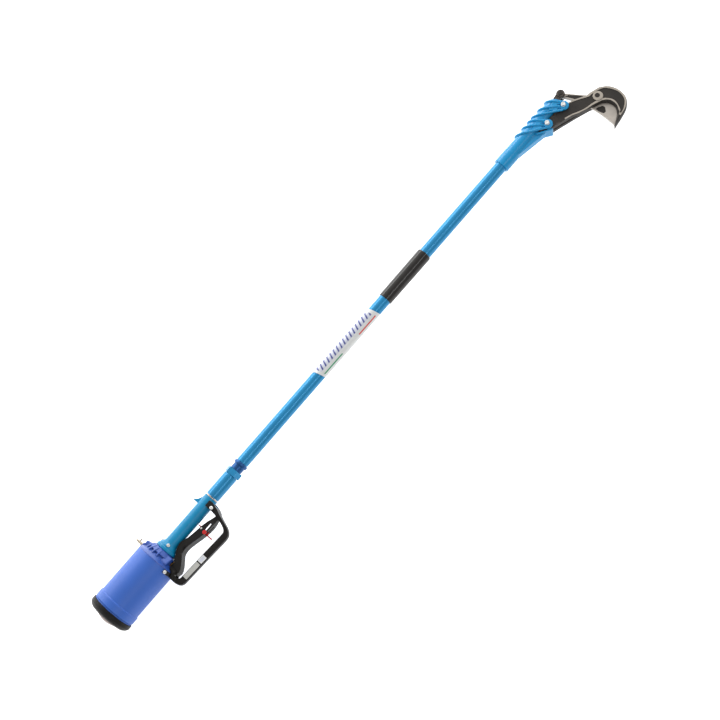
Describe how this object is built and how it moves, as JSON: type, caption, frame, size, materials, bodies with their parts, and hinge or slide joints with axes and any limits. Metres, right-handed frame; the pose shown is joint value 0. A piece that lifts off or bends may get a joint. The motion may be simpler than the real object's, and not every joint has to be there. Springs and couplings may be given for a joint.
{
  "type": "pneumatic pole pruner",
  "caption": "Long air-powered pruner: piston cylinder and trigger handle at one end of a tube, hook and blade cutting head at the other.",
  "frame": {"origin": "on the pole's axis, at the flat middle of the air cylinder's rear face", "axes": "+X along the pole to the cutting head, -Y to the trigger guard's side and the hook's mouth, +Z to the side with the hook plate and the bolt heads"},
  "size_m": [1.4614, 0.1937, 0.0926],
  "materials": {
    "barrel": "blue gloss paint on a drawn aluminium tube",
    "casting": "blue satin paint on a casting",
    "cyan_paint": "light blue gloss paint",
    "anodised": "blue satin anodised",
    "dark_anodised": "darker blue satin anodised",
    "cap_rubber": "matt black",
    "plastic": "black, lightly grained",
    "link_finish": "black painted cast link",
    "grip": "dark gloss sleeve",
    "end_plug": "satin, machined",
    "washer": "pale bronze",
    "nickel": "satin nickel plate",
    "brass": "turned",
    "zinc": "bright zinc plate",
    "steel": "ground bar",
    "forging": "blackened forging with ground edges",
    "blade_steel": "ground tool steel",
    "red": "red",
    "label_white": "white film",
    "label_grey": "grey film",
    "seal": "black",
    "nylon": "natural nylon"
  },
  "bodies": {
    "pole": {"rear_end_plug": "end_plug", "rear_plug_seal": "seal", "rear_cap": "cap_rubber", "cylinder_barrel": "barrel", "front_casting": "casting", "rod_bush": "brass", "rod_seal": "seal", "air_nipple": "nickel", "valve_body": "brass", "valve_spring": "steel", "handle_body": "cyan_paint", "handle_screw_1": "zinc", "handle_screw_2": "zinc", "handle_screw_3": "zinc", "handle_screw_4": "zinc", "joint_washer": "washer", "coupling_sleeve": "anodised", "lock_nut": "anodised", "pole_end_fitting": "dark_anodised", "pole_tube": "anodised", "pole_label": "label_white", "grip_sleeve": "grip", "trigger_guard": "plastic", "guard_front_screw": "zinc", "guard_rear_screw_1": "zinc", "guard_rear_screw_2": "zinc", "trigger_pin": "forging", "guard_label_long": "label_grey", "guard_label_short": "label_white", "head_bracket": "cyan_paint", "hook_plate": "forging", "cheek_plate": "forging", "plate_spacer": "forging", "bracket_bolt_1": "zinc", "bracket_bolt_2": "zinc", "bracket_nut_1": "zinc", "bracket_nut_2": "zinc", "pivot_pin": "forging", "pivot_nut": "zinc", "pivot_washer": "zinc"},
    "rod": {"piston": "end_plug", "piston_seal": "seal", "piston_rod": "steel", "rod_joint": "zinc", "pull_rod": "steel", "rod_guide_1": "nylon", "rod_guide_2": "nylon"},
    "cutter": {"blade": "blade_steel", "blade_bush": "brass"},
    "link": {"drive_link": "link_finish", "link_front_pin": "forging", "link_rear_pin": "steel"},
    "trigger": {"trigger_lever": "plastic", "lever_rivet_1": "zinc", "lever_rivet_2": "zinc"},
    "catch": {"safety_catch": "red"},
    "plunger": {"valve_plunger": "steel"},
    "tap": {"inlet_tap_key": "nickel"}
  },
  "joints": [
    {"name": "piston_stroke", "type": "slide", "parent": "pole", "child": "rod", "axis": [1, 0, 0], "range_m": [0, 0.0573]},
    {"name": "blade_swing", "type": "hinge", "parent": "pole", "child": "cutter", "pos_m": [1.4255, -0.061, 0], "axis": [0, 0, 1], "range_deg": [-45.1, 0]},
    {"name": "link_swing", "type": "hinge", "parent": "cutter", "child": "link", "pos_m": [1.388, 0.00395, 0], "axis": [0, 0, 1], "range_deg": [0, 52.6]},
    {"name": "trigger_pull", "type": "hinge", "parent": "pole", "child": "trigger", "pos_m": [0.1565, -0.045, 0], "axis": [0, 0, 1], "range_deg": [0, 3.6], "stiffness_Nm_per_rad": 8, "springref_deg": -2.86},
    {"name": "catch_slide", "type": "slide", "parent": "trigger", "child": "catch", "axis": [1, 0, 0], "range_m": [0, 0.0141]},
    {"name": "plunger_slide", "type": "slide", "parent": "pole", "child": "plunger", "axis": [0, 1, 0], "range_m": [0, 0.0005]},
    {"name": "tap_turn", "type": "hinge", "parent": "pole", "child": "tap", "pos_m": [0.1531, 0.0531, 0], "axis": [1, 0, 0], "range_deg": [0, 90]}
  ],
  "couplings": [
    {"joint": "blade_swing", "follows": "piston_stroke", "rad_per_m": -13.707},
    {"joint": "link_swing", "follows": "piston_stroke", "rad_per_m": 15.991},
    {"joint": "catch_slide", "follows": "trigger_pull", "m_per_rad": 0.22282},
    {"joint": "plunger_slide", "follows": "trigger_pull", "m_per_rad": 0.0075}
  ]
}
